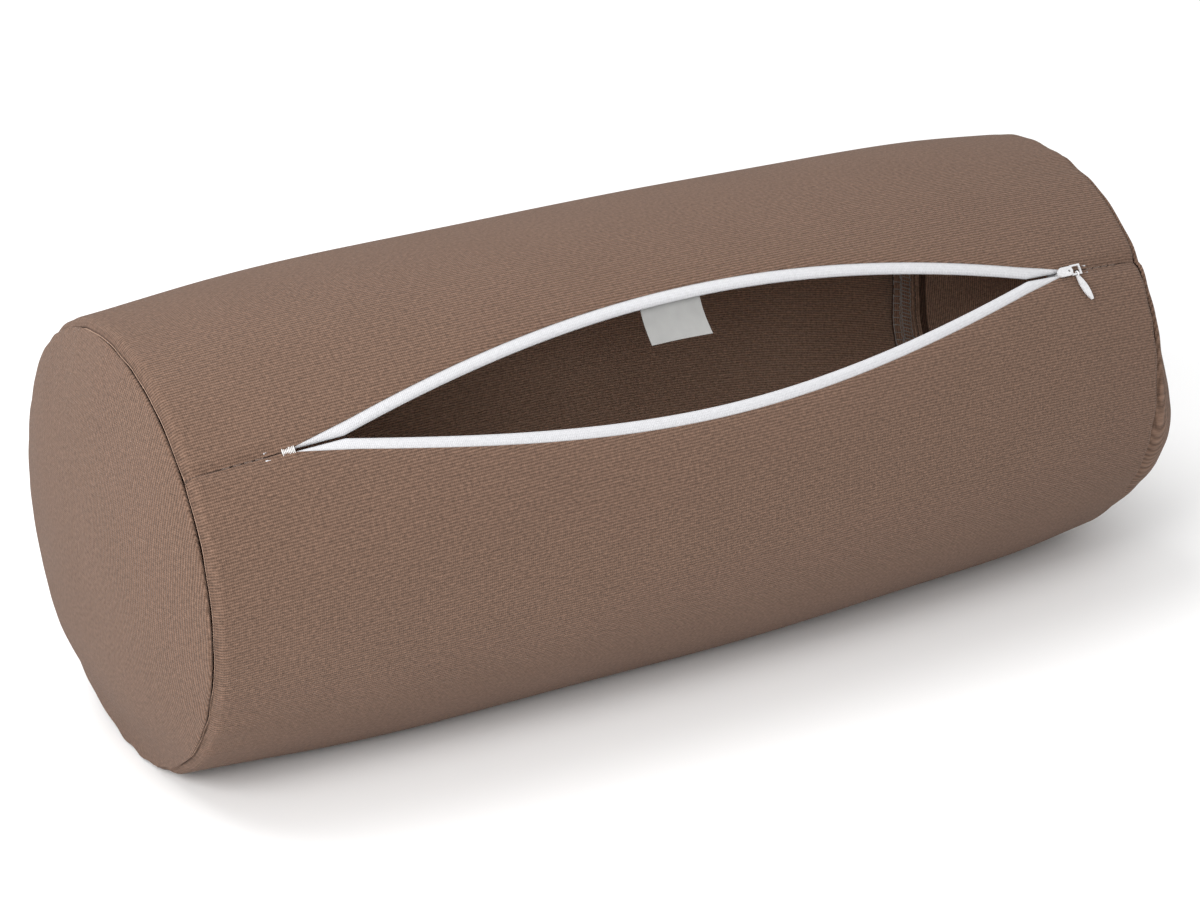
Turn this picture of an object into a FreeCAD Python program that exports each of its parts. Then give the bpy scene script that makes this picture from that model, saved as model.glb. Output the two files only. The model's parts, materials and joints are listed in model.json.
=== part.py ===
"""Zip-up fabric cover of a cylindrical neck bolster, standing open and empty.

X runs along the bolster, -Y is the side that the zip faces and Z is up.  The origin is on the
surface that the cover rests on, under its middle.  All sizes are in millimetres.
"""
import FreeCAD, Part
import math
import os

# Overall sizes of the cover
DISC_DIAMETER = 150.0       # each round end, from ring seam to ring seam
SEAM_LENGTH = 370.0         # body panel between the two ring seams
END_CROWN = 15.0            # how far each round end swells past its ring seam
CROWN_POWER = 2.6           # how full the round ends are towards their rims
FABRIC = 1.0                # wall of the body panel and of the end discs

# Mouth, held open by a zip that is fully undone
ZIP_ANGLE = 141.0           # zip line round the axis, in degrees from +Y towards +Z
MOUTH_LENGTH = 306.0        # between the two corners of the mouth
MOUTH_OPENING = 49.0        # between the lips at mid-length, measured round the girth
CORNER_BLUNTNESS = 0.15     # 0 is a plain parabola, 1 an S-shaped lip
SEAM_GAP = 0.3              # between the two closed edges of the panel, past the corners

# How the empty cover sits
END_FLAT = 2.0              # depth that the underside of each ring is pressed flat
MID_RISE = 2.0              # how much higher the axis stands at mid-length
SWELL_POWER = 2.5           # how full the barrel shape is towards its ends
PRESSED = 0.2               # taken off the underside of the panel to leave one true plane

# Zip
TAPE_THICK = 0.5
TAPE_SHOWS = 3.0            # white edge that stands past the fabric lip
TAPE_UNDER = 8.0            # part of the tape that lies under the fabric
TAPE_SPLIT = 0.9            # least distance from the zip line to a tape's free edge
COIL_WIDE = 1.6
COIL_THICK = 1.4
ZIP_OVERRUN = 6.5           # how far tapes and coils run past each corner of the mouth

# Slider and pull
SLIDER_LENGTH = 9.0
SLIDER_INSET = 3.5          # slider's middle, from the corner of the mouth
SLIDER_PLATE = 0.9
SLIDER_CLEAR = 0.95         # under the coils and over the fabric, which slope along the zip
GROOVE_CLEAR = 0.5          # beside the coils
FLANGE_CLEAR = 0.75         # between the slider's side walls and the tapes
NECK_WIDE = 1.1
NECK_LONG = 2.0
NECK_BACK = 3.2             # end of the neck, behind the slider's middle
CROWN_WIDE = 3.4            # oval crown outside the mouth
CROWN_THICK = 0.8
CROWN_HOLE = 0.9
LOOP_START = 1.2            # where the loop begins, ahead of the slider's middle
LOOP_LONG = 4.2             # flat loop on the slider's nose
LOOP_WIDE = 3.8
LOOP_WIRE = 0.6
PULL_LENGTH = 9.6
PULL_WIDE = 2.5
PULL_THICK = 0.7
PULL_FOOT = 1.0             # width at the eye
PULL_POINT = 0.7            # width at the tip
PULL_WIDEST = 0.62          # place of the widest part, as a share of the length
PULL_LEAN = 18.0            # how far the pull hangs askew, towards the nose
PULL_REST = 0.3             # gap left under the tip of the resting pull
PULL_NECK_INSET = 0.05      # pull's neck, inside each flat of the leaf
EYE_RADIUS = 0.85
EYE_WIRE = 0.28

# Stops, label, thread
STOP_LONG = 2.0
STOP_THICK = 0.5
STOP_CLEAR = 0.5            # along the zip, past the mouth's corner or the parked slider
BARTACK_LONG = 1.2
BARTACK_WIDE = 6.0
BARTACK_INSET = 0.1         # from the ends of the coils
LABEL_WIDE = 23.0
LABEL_DROP = 13.5
LABEL_LEAN = 35.0           # how far the stiff satin stands out from plumb
LABEL_THICK = 0.4
LABEL_PLACE = -6.0          # middle of the label along the bolster
MARGIN = 12.0               # fabric turned in along each ring seam
MARGIN_THICK = 0.9          # turned-in fabric, pressed flat
RING_STITCH_BACK = 1.6      # lockstitch, back from the ring seam
THREAD = 0.4
OVERLOCK_WIDE = 5.0
LAYER_GAP = 0.15            # between one layer of the seams and the next
ROW_GAP = 1.0               # between one row of stitches and the next edge beside it

# Longest steps between the sections of the long pieces
PANEL_STEP = 9.0
STRIP_STEP = 7.0
DOME_STEPS = 12

# Worked out from the sizes above
DISC_RADIUS = DISC_DIAMETER / 2
HALF_SEAM = SEAM_LENGTH / 2
HALF_MOUTH = MOUTH_LENGTH / 2
LIP_REACH = MOUTH_OPENING / 2
MID_GROWTH = MOUTH_OPENING / (2 * math.pi)
ZIP = math.radians(ZIP_ANGLE)
TAPE_OUT = FABRIC + LAYER_GAP
TAPE_IN = TAPE_OUT + TAPE_THICK
COIL_OUT = TAPE_IN + LAYER_GAP
COIL_IN = COIL_OUT + COIL_THICK
HALF_ZIP = HALF_MOUTH + ZIP_OVERRUN
SLIDER_X = HALF_MOUTH - SLIDER_INSET
MARGIN_IN = TAPE_OUT + MARGIN_THICK
UPPER, LOWER = -1, 1        # the zip's two sides, as signs of the angle away from the zip line
LEFT, RIGHT = -1, 1

Vector = FreeCAD.Vector


def swell(x):
    """Barrel shape of the open cover: 0 at the ring seams, 1 at mid-length."""
    return 1 - min(1.0, abs(x) / HALF_SEAM) ** SWELL_POWER


def radius(x):
    """Outer radius of the body at x."""
    return DISC_RADIUS + MID_GROWTH * swell(x)


def axis_height(x):
    """Height of the section's centre at x above the resting surface."""
    return DISC_RADIUS - END_FLAT + MID_RISE * swell(x)


def half_gap(x):
    """Distance round the girth from the zip line to a fabric lip at x."""
    along = 1 - abs(x) / HALF_MOUTH
    if along <= 0:
        return SEAM_GAP / 2
    bowed = along * (2 - along)
    eased = along * along * (3 - 2 * along)
    share = (1 - CORNER_BLUNTNESS) * bowed + CORNER_BLUNTNESS * eased
    return max(SEAM_GAP / 2, LIP_REACH * share)


def tape_edge(x):
    """Distance round the girth from the zip line to a tape's free edge at x."""
    return max(TAPE_SPLIT, half_gap(x) - TAPE_SHOWS)


def at(x, angle, depth):
    """Point of the section at x, at an angle round the axis and a depth under the outer surface."""
    r = radius(x) - depth
    z = axis_height(x) + r * math.sin(angle)
    return Vector(x, r * math.cos(angle), z)


def arc(x, start, end, depth):
    """Arc round the axis at x, between two angles at one depth."""
    middle = (start + end) / 2
    return Part.Arc(at(x, start, depth), at(x, middle, depth), at(x, end, depth)).toShape()


def flat_angles(x, depth, height=None):
    """Angles where the underside starts and ends at a depth, when it lies at a height."""
    low = depth if height is None else height
    down = math.acos((axis_height(x) - low) / (radius(x) - depth))
    return 1.5 * math.pi - down, 1.5 * math.pi + down


def stations(start, end, step):
    """Even places along X from start to end, at most one step apart."""
    count = max(1, math.ceil(abs(end - start) / step))
    return [start + (end - start) * i / count for i in range(count + 1)]


def panel_section(x):
    """Closed outline of the body panel at x: a flattened C whose two ends are the lips."""
    edges = []
    ends = []
    for depth, height in ((0.0, -PRESSED), (FABRIC, FABRIC)):
        reach = half_gap(x) / radius(x)
        low, high = flat_angles(x, depth, height)
        top = ZIP - reach + 2 * math.pi
        front = arc(x, ZIP + reach, low, depth)
        floor = Part.LineSegment(at(x, low, depth), at(x, high, depth)).toShape()
        back = arc(x, high, top, depth)
        edges.append([front, floor, back])
        ends.append((at(x, ZIP + reach, depth), at(x, top, depth)))
    upper_lip = Part.LineSegment(ends[0][1], ends[1][1]).toShape()
    lower_lip = Part.LineSegment(ends[1][0], ends[0][0]).toShape()
    return Part.Wire(edges[0] + [upper_lip] + edges[1][::-1] + [lower_lip])


def body_panel():
    """The rectangle of fabric that is rolled into the body, open along the mouth."""
    end = HALF_SEAM - LAYER_GAP
    places = stations(-end, -HALF_MOUTH, PANEL_STEP)[:-1]
    places += stations(-HALF_MOUTH, HALF_MOUTH, PANEL_STEP)
    places += stations(HALF_MOUTH, end, PANEL_STEP)[1:]
    roll = Part.makeLoft([panel_section(x) for x in places], True, False)
    ground = block((-SEAM_LENGTH, SEAM_LENGTH), (-DISC_DIAMETER, DISC_DIAMETER), (-DISC_RADIUS, 0))
    return roll.cut(ground)


def flattened_ring(x, depth):
    """Closed outline of a whole section at x, at a depth under the outer surface."""
    low, high = flat_angles(x, depth)
    floor = Part.LineSegment(at(x, low, depth), at(x, high, depth)).toShape()
    return Part.Wire([floor, arc(x, high, low + 2 * math.pi, depth)])


def ring_band(start, end, outer, inner):
    """Whole ring between two places along X and between two depths."""
    solids = []
    for depth in (outer, inner):
        wires = [flattened_ring(x, depth) for x in stations(start, end, STRIP_STEP)]
        solids.append(Part.makeLoft(wires, True, False))
    return solids[0].cut(solids[1])


def strip(start, end, side, near, far, outer, inner):
    """Band along the zip on one side of it.

    near and far give the distances round the girth from the zip line, as functions of x.
    """
    wires = []
    for x in stations(start, end, STRIP_STEP):
        first = ZIP + side * near(x) / radius(x)
        last = ZIP + side * far(x) / radius(x)
        outside = arc(x, first, last, outer)
        inside = arc(x, first, last, inner)
        near_line = Part.LineSegment(at(x, first, inner), at(x, first, outer)).toShape()
        far_line = Part.LineSegment(at(x, last, outer), at(x, last, inner)).toShape()
        wires.append(Part.Wire([outside, far_line, inside, near_line]))
    return Part.makeLoft(wires, True, True)


def zip_tape(side):
    """Woven tape along one lip, from under the fabric to its white free edge."""
    def far(x):
        return half_gap(x) + TAPE_UNDER

    return strip(-HALF_ZIP, HALF_ZIP, side, tape_edge, far, TAPE_OUT, TAPE_IN)


def zip_coil(side):
    """Coil of one side, sewn to the inner face of the tape along its free edge."""
    def far(x):
        return tape_edge(x) + COIL_WIDE

    return strip(-HALF_ZIP, HALF_ZIP, side, tape_edge, far, COIL_OUT, COIL_IN)


def tape_stitch(side):
    """Row of thread that holds the tape to the turned-in edge of the panel."""
    def near(x):
        return half_gap(x) + TAPE_UNDER / 2

    def far(x):
        return near(x) + 2 * THREAD

    return strip(-HALF_ZIP, HALF_ZIP, side, near, far, COIL_OUT, COIL_OUT + THREAD)


def edge_overlock(side):
    """Overlock thread along the cut edge of the panel, beside the zip tape."""
    end = HALF_SEAM - MARGIN - LAYER_GAP - ROW_GAP

    def near(x):
        return half_gap(x) + TAPE_UNDER + ROW_GAP

    def far(x):
        return near(x) + OVERLOCK_WIDE

    return strip(-end, end, side, near, far, TAPE_OUT, TAPE_OUT + THREAD)


def closing_stitch(end):
    """Thread of the short seam that closes the panel between the mouth and the ring seam."""
    start = end * (HALF_ZIP + ROW_GAP)
    stop = end * (HALF_SEAM - MARGIN - ROW_GAP)

    def near(x):
        return -THREAD

    def far(x):
        return THREAD

    return strip(min(start, stop), max(start, stop), UPPER, near, far, TAPE_OUT, TAPE_OUT + THREAD)


def bartack(end):
    """Block of dense thread that locks the corner of the mouth, under both coils."""
    start = end * (HALF_ZIP - BARTACK_INSET - BARTACK_LONG)
    stop = end * (HALF_ZIP - BARTACK_INSET)

    def near(x):
        return -BARTACK_WIDE / 2

    def far(x):
        return BARTACK_WIDE / 2

    depth = COIL_IN + LAYER_GAP
    return strip(min(start, stop), max(start, stop), UPPER, near, far, depth, depth + THREAD)


def top_stop(side):
    """Small metal clip on one coil at the end that the slider closes towards."""
    start = -HALF_MOUTH + STOP_CLEAR

    def near(x):
        return tape_edge(x) + LAYER_GAP

    def far(x):
        return tape_edge(x) + COIL_WIDE

    depth = COIL_IN + LAYER_GAP
    return strip(start, start + STOP_LONG, side, near, far, depth, depth + STOP_THICK)


def bottom_stop():
    """Metal clip across both coils at the end where the slider parks when the zip is open."""
    start = SLIDER_X + SLIDER_LENGTH / 2 + STOP_CLEAR
    reach = TAPE_SPLIT + COIL_WIDE

    def near(x):
        return -reach

    def far(x):
        return reach

    depth = COIL_IN + LAYER_GAP
    return strip(start, start + STOP_LONG, UPPER, near, far, depth, depth + STOP_THICK)


def crown(share):
    """Depth of the swollen end at a share of its radius, as a part of the full crown."""
    return 1 - share ** CROWN_POWER


def end_disc(end):
    """Round end panel, softly domed, with its edge turned in under the body panel."""
    def dome(extra):
        points = []
        for i in range(DOME_STEPS + 1):
            share = i / DOME_STEPS
            depth = (END_CROWN - extra) * crown(share)
            points.append(Vector(end * (HALF_SEAM + depth), 0, (DISC_RADIUS - extra) * share))
        curve = Part.BSplineCurve()
        curve.interpolate(points)
        rim = points[-1]
        face_points = [rim, Vector(end * HALF_SEAM, 0, 0), points[0]]
        edges = [curve.toShape()]
        for a, b in zip(face_points, face_points[1:]):
            edges.append(Part.LineSegment(a, b).toShape())
        solid = Part.Face(Part.Wire(edges)).revolve(Vector(0, 0, 0), Vector(1, 0, 0), 360)
        solid.translate(Vector(0, 0, axis_height(HALF_SEAM)))
        return solid

    seam = end * HALF_SEAM
    size = DISC_DIAMETER
    above = block((seam - size, seam + size), (-size, size), (0, 2 * size))
    skin = dome(0.0).common(above).cut(dome(FABRIC).common(above.translated(Vector(0, 0, FABRIC))))
    inward = end * (HALF_SEAM - MARGIN)
    turned = ring_band(min(seam, inward), max(seam, inward), TAPE_OUT, MARGIN_IN)
    step = Vector(end * FABRIC / 2, 0, 0)
    rim = Part.Face(flattened_ring(seam, 0.0)).extrude(step)
    hollow = Part.Face(flattened_ring(seam, MARGIN_IN)).extrude(step)
    return skin.fuse([rim.cut(hollow), turned]).removeSplitter()


def ring_overlock(end):
    """Overlock thread over the free edge of the turned-in margin at a ring seam."""
    start = end * (HALF_SEAM - MARGIN)
    stop = end * (HALF_SEAM - MARGIN + OVERLOCK_WIDE)
    depth = MARGIN_IN + LAYER_GAP
    return ring_band(min(start, stop), max(start, stop), depth, depth + THREAD)


def ring_stitch(end):
    """Lockstitch thread that joins the end disc to the body panel."""
    start = end * (HALF_SEAM - RING_STITCH_BACK)
    stop = end * (HALF_SEAM - RING_STITCH_BACK + 2 * THREAD)
    depth = MARGIN_IN + LAYER_GAP
    return ring_band(min(start, stop), max(start, stop), depth, depth + THREAD)


def placed_on_zip(solid, x):
    """Turn a solid from its own frame to the zip line at x.

    The own frame has X along the zip, Y round the girth towards the lower lip and Z outward.
    """
    origin = at(x, ZIP, 0.0)
    down = Vector(0, -math.sin(ZIP), math.cos(ZIP))
    out = Vector(0, math.cos(ZIP), math.sin(ZIP))
    turn = FreeCAD.Matrix()
    turn.A22, turn.A23 = down.y, out.y
    turn.A32, turn.A33 = down.z, out.z
    turn.A14, turn.A24, turn.A34 = origin.x, origin.y, origin.z
    return solid.transformGeometry(turn)


def block(x, y, z):
    """Box from three (low, high) pairs."""
    size = [high - low for low, high in (x, y, z)]
    return Part.makeBox(size[0], size[1], size[2], Vector(x[0], y[0], z[0]))


def zip_slider():
    """Slider: a grooved plate under the coils, a neck between them, and a crown and loop outside."""
    half = SLIDER_LENGTH / 2
    groove = TAPE_SPLIT + COIL_WIDE + GROOVE_CLEAR
    wall = groove + SLIDER_PLATE / 2
    top = -(COIL_IN + SLIDER_CLEAR)
    flange = -(TAPE_IN + FLANGE_CLEAR)
    foot = SLIDER_CLEAR
    plate = block((-half, half), (-wall, wall), (top - SLIDER_PLATE, top))
    parts = [crown_and_loop(foot)]
    for low, high in ((-wall, -groove), (groove, wall)):
        parts.append(block((-half, half), (low, high), (top, flange)))
    neck = (-NECK_BACK, -NECK_BACK + NECK_LONG)
    parts.append(block(neck, (-NECK_WIDE / 2, NECK_WIDE / 2), (top, foot)))
    return placed_on_zip(plate.fuse(parts).removeSplitter(), SLIDER_X)


def rounded_slab(start, end, width, low, thick):
    """Flat slab along X with half-round ends."""
    r = width / 2
    slab = block((start + r, end - r), (-r, r), (low, low + thick))
    ends = [Part.makeCylinder(r, thick, Vector(x, 0, low)) for x in (start + r, end - r)]
    return slab.fuse(ends)


def crown_and_loop(foot):
    """Oval crown with its small hole, and the flat loop on its nose that carries the pull."""
    start = -SLIDER_LENGTH / 2
    nose = LOOP_START
    crown_slab = rounded_slab(start, nose + LOOP_WIRE, CROWN_WIDE, foot, CROWN_THICK)
    middle = nose - CROWN_HOLE
    hole = Part.makeCylinder(CROWN_HOLE / 2, CROWN_THICK, Vector(middle, 0, foot))
    end = nose + LOOP_LONG
    ring = block((nose, end), (-LOOP_WIDE / 2, LOOP_WIDE / 2), (foot, foot + LOOP_WIRE))
    bars = LOOP_WIDE / 2 - LOOP_WIRE
    window = block((nose + LOOP_WIRE, end - LOOP_WIRE), (-bars, bars), (foot, foot + LOOP_WIRE))
    return crown_slab.cut(hole).fuse(ring.cut(window)).cut(window)


def pull_axis():
    """Middle of the loop's lower bar, which the pull swings about, in the slider's own frame."""
    across = LOOP_WIDE / 2 - LOOP_WIRE / 2
    return Vector(LOOP_START + LOOP_LONG / 2, across, SLIDER_CLEAR + LOOP_WIRE / 2)


def leaf():
    """Flat leaf of the pull, along Y from its foot to its pointed tip."""
    foot = PULL_FOOT / 2
    point = PULL_POINT / 2
    side = PULL_WIDE / 2
    widest = PULL_WIDEST * PULL_LENGTH
    right = [Vector(foot, 0, 0), Vector(side, widest, 0), Vector(point, PULL_LENGTH, 0)]
    left = [Vector(-place.x, place.y, 0) for place in reversed(right)]
    edges = []
    for points, onward in ((right, left[0]), (left, right[0])):
        curve = Part.BSplineCurve()
        curve.interpolate(points)
        edges += [curve.toShape(), Part.LineSegment(points[-1], onward).toShape()]
    return Part.Face(Part.Wire(edges)).extrude(Vector(0, 0, PULL_THICK))


def pull_tab():
    """Leaf-shaped pull that hangs from the loop by its eye, against the fabric."""
    centre = pull_axis()
    half = PULL_THICK / 2
    foot = PULL_FOOT / 2
    blade = leaf()
    blade.rotate(Vector(0, 0, 0), Vector(0, 0, 1), -PULL_LEAN)
    flats = (PULL_NECK_INSET, PULL_THICK - PULL_NECK_INSET)
    neck = block((-foot, foot), (-EYE_WIRE, EYE_WIRE), flats)
    blade.translate(Vector(0, EYE_RADIUS, -half))
    neck.translate(Vector(0, EYE_RADIUS, -half))
    fall = math.degrees(math.atan2(centre.z - half - PULL_REST, EYE_RADIUS + PULL_LENGTH))
    eye = Part.makeTorus(EYE_RADIUS, EYE_WIRE, Vector(0, 0, 0), Vector(1, 0, 0))
    hanging = eye.fuse([blade, neck])
    hanging.rotate(Vector(0, 0, 0), Vector(1, 0, 0), -fall)
    hanging.translate(centre)
    return placed_on_zip(hanging, SLIDER_X)


def label():
    """Woven satin label that hangs from the edge of the upper tape, leaning out of the mouth."""
    x = LABEL_PLACE
    angle = ZIP + UPPER * tape_edge(x) / radius(x)
    top = at(x, angle, COIL_IN + LAYER_GAP)
    corner = Vector(x - LABEL_WIDE / 2, top.y, top.z - LABEL_DROP)
    ribbon = Part.makeBox(LABEL_WIDE, LABEL_THICK, LABEL_DROP, corner)
    ribbon.rotate(top, Vector(1, 0, 0), -LABEL_LEAN)
    return ribbon


def build():
    """Every piece of the cover, by the name of its file."""
    sides = {"upper": UPPER, "lower": LOWER}
    ends = {"left": LEFT, "right": RIGHT}
    pieces = {
        "body_panel": body_panel(),
        "zip_slider": zip_slider(),
        "pull_tab": pull_tab(),
        "bottom_stop": bottom_stop(),
        "label": label(),
    }
    for name, side in sides.items():
        pieces[name + "_zip_tape"] = zip_tape(side)
        pieces[name + "_zip_coil"] = zip_coil(side)
        pieces[name + "_tape_stitch"] = tape_stitch(side)
        pieces[name + "_edge_overlock"] = edge_overlock(side)
        pieces[name + "_top_stop"] = top_stop(side)
    for name, end in ends.items():
        pieces[name + "_end_disc"] = end_disc(end)
        pieces[name + "_ring_stitch"] = ring_stitch(end)
        pieces[name + "_ring_overlock"] = ring_overlock(end)
        pieces[name + "_closing_stitch"] = closing_stitch(end)
        pieces[name + "_bartack"] = bartack(end)
    return pieces


os.makedirs("parts", exist_ok=True)
for name, shape in sorted(build().items()):
    shape.exportStep(f"parts/{name}.step")
    box = shape.BoundBox
    low = (round(box.XMin, 2), round(box.YMin, 2), round(box.ZMin, 2))
    high = (round(box.XMax, 2), round(box.YMax, 2), round(box.ZMax, 2))
    print(name, shape.isValid(), len(shape.Solids), round(shape.Volume, 1), low, high)
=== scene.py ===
"""Zip-up fabric cover of a cylindrical neck bolster, standing open and empty.

Everything is in metres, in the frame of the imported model: X runs along the bolster, -Y is the
side that the zip faces, Z is up and the cover rests on z = 0.
"""
import json
import logging
import math
from dataclasses import dataclass, field
from enum import Enum
from typing import Callable, Sequence

import bmesh
import bpy
import numpy as np
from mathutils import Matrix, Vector


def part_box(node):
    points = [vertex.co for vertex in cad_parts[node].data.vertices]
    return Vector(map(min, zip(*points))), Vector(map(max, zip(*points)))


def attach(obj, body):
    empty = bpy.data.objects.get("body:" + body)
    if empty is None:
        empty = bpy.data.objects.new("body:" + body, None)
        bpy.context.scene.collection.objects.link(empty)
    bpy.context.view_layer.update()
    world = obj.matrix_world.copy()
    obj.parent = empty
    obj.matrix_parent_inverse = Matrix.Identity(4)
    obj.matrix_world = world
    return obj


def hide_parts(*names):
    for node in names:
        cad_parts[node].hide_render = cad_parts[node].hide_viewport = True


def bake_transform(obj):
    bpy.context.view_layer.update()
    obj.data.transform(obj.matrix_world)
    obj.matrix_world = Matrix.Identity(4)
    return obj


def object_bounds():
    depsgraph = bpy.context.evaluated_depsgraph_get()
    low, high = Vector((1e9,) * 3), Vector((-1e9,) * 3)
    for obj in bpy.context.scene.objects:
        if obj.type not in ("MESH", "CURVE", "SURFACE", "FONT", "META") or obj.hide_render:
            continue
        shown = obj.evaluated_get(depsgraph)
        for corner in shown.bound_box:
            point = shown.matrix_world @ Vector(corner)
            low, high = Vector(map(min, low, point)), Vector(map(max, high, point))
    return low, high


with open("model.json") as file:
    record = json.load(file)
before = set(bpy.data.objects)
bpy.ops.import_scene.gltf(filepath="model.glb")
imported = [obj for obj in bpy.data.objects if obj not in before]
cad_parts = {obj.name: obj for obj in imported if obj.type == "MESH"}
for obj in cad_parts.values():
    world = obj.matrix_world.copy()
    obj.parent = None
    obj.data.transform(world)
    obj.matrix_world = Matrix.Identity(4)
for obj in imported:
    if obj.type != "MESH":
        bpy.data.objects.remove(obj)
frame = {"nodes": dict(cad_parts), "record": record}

CAD_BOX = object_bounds()
MM = 0.001
TURN = 2 * math.pi
Array = np.ndarray

logging.basicConfig(level=logging.INFO, format="%(message)s")
log = logging.getLogger("bolster cover")


class Side(Enum):
    """The two sides of the zip, as signs of the distance round the girth from the zip line."""

    UPPER = 1
    LOWER = -1

    @property
    def title(self) -> str:
        """Name of the side in piece and body names."""
        return self.name.lower()

    @property
    def body(self) -> str:
        """Name of the body for the edge of the fabric on this side."""
        return f"{self.title}_lip"


class End(Enum):
    """The two ends of the bolster, as signs of x."""

    LEFT = -1
    RIGHT = 1

    @property
    def title(self) -> str:
        """Name of the end in piece names."""
        return self.name.lower()


class Stitch(Enum):
    """Kinds of sewing thread run that the cover has."""

    LOCK = "lock"
    LADDER = "ladder"
    SLANT = "slant"
    BAR = "bar"


# ---------------------------------------------------------------- finishes


class NodeBench:
    """Small helper that adds and links the nodes of one material."""

    def __init__(self, name: str) -> None:
        """Start an empty material with a Principled shader."""
        self.material = bpy.data.materials.new(name)
        self.material.use_nodes = True
        self.tree = self.material.node_tree
        self.shader = self.tree.nodes["Principled BSDF"]

    def node(self, kind: str, inputs: dict | None = None, **settings: object) -> bpy.types.Node:
        """Add a node.

        Args:
            kind: Blender's type name without the leading "ShaderNode".
            inputs: Socket name or number to a value or to another node's output socket.
            settings: Properties of the node itself.

        Returns:
            The new node.
        """
        made = self.tree.nodes.new("ShaderNode" + kind)
        for key, value in settings.items():
            setattr(made, key, value)
        for key, value in (inputs or {}).items():
            if isinstance(value, bpy.types.NodeSocket):
                self.tree.links.new(value, made.inputs[key])
            else:
                made.inputs[key].default_value = value
        return made

    def math(self, operation: str, first: object, second: object = 0.0) -> bpy.types.NodeSocket:
        """Output of a Math node over two values or sockets."""
        return self.node("Math", {0: first, 1: second}, operation=operation).outputs[0]

    def noise(self, vector: bpy.types.NodeSocket, size: float, detail: float = 2.0):
        """Noise whose grains are about size metres across, as an output socket."""
        return self.node("TexNoise", {"Vector": vector, "Scale": 1 / size, "Detail": detail}).outputs[0]

    def bands(self, vector: bpy.types.NodeSocket, pitch: float, distortion: float, axis: str = "X"):
        """Sine ridges at a pitch in metres across one axis of a vector, as an output socket."""
        inputs = {"Vector": vector, "Scale": math.pi / 10 / pitch, "Distortion": distortion,
                  "Detail": 2.0, "Detail Scale": 1.5}
        return self.node("TexWave", inputs, bands_direction=axis).outputs[1]

    def ramp(self, factor: object, dark: Sequence[float], light: Sequence[float], span=(0.3, 0.7)):
        """Colour between two tones over a span of a factor, as an output socket."""
        made = self.node("ValToRGB", {0: factor})
        for stop, place, colour in zip(made.color_ramp.elements, span, (dark, light)):
            stop.position = place
            stop.color = (*colour, 1)
        return made.outputs[0]

    def blend(self, factor: object, first: object, second: object, kind: str = "MIX"):
        """Colour mix of two colours or sockets, as an output socket."""
        made = self.node("Mix", {0: factor, 6: first, 7: second}, data_type="RGBA", blend_type=kind)
        return made.outputs[2]

    def bump(self, height: object, strength: float, depth: float) -> None:
        """Let a height socket raise the surface by up to depth metres."""
        made = self.node("Bump", {"Height": height, "Strength": strength, "Distance": depth})
        self.tree.links.new(made.outputs[0], self.shader.inputs["Normal"])

    def dress(self, colour: bpy.types.NodeSocket, **sockets: float) -> bpy.types.Material:
        """Finish the material: link the colour and set the shader's uniform sockets."""
        self.tree.links.new(colour, self.shader.inputs["Base Color"])
        for key, value in sockets.items():
            self.shader.inputs[key.replace("_", " ")].default_value = value
        return self.material


Colour = tuple[float, float, float]


def shaded(colour: Colour, share: float) -> Colour:
    """A colour made lighter or darker by a share."""
    return tuple(min(1.0, part * share) for part in colour)


@dataclass(frozen=True)
class Twill:
    """Matt cotton twill: ridges along the bolster, a finer cross yarn and flecked yarn colour."""

    name: str = "taupe_twill"
    slot: str = "cover_fabric"
    colour: Colour = (0.160, 0.097, 0.068)
    ridge: float = 0.95 * MM
    cross: float = 0.7 * MM
    fleck: float = 1.2 * MM
    cloud: float = 26 * MM

    def make(self) -> bpy.types.Material:
        """Build the material on the piece's own UV map, which is in metres of flat cloth."""
        bench = NodeBench(self.name)
        flat = bench.node("TexCoord").outputs["UV"]
        ridges = bench.bands(flat, self.ridge, 1.6, "Y")
        crossing = bench.bands(flat, self.cross, 1.2, "X")
        weave = bench.math("MULTIPLY_ADD", crossing, 0.35)
        bench.tree.links.new(ridges, weave.node.inputs[2])
        flecks = bench.noise(flat, self.fleck, 3.0)
        clouds = bench.noise(flat, self.cloud, 2.0)
        yarn = bench.ramp(flecks, shaded(self.colour, 0.62), shaded(self.colour, 1.5))
        worn = bench.ramp(clouds, shaded(self.colour, 0.95), shaded(self.colour, 1.06))
        tone = bench.blend(0.4, yarn, worn)
        # Painted shade: the colour is darkened in the troughs of the weave height that also drives the
        # bump, and lightened a little on the ridge tops.
        painted_weave_shading = bench.ramp(weave, (0.5, 0.47, 0.44), (1.15, 1.15, 1.15), (0.1, 0.9))
        colour = bench.blend(0.8, tone, painted_weave_shading, "MULTIPLY")
        bench.bump(bench.math("ADD", weave, bench.math("MULTIPLY", flecks, 0.5)), 0.9, 0.3 * MM)
        return bench.dress(colour, Roughness=0.93, Sheen_Weight=0.06, Sheen_Roughness=0.6,
                           Specular_IOR_Level=0.15)


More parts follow.
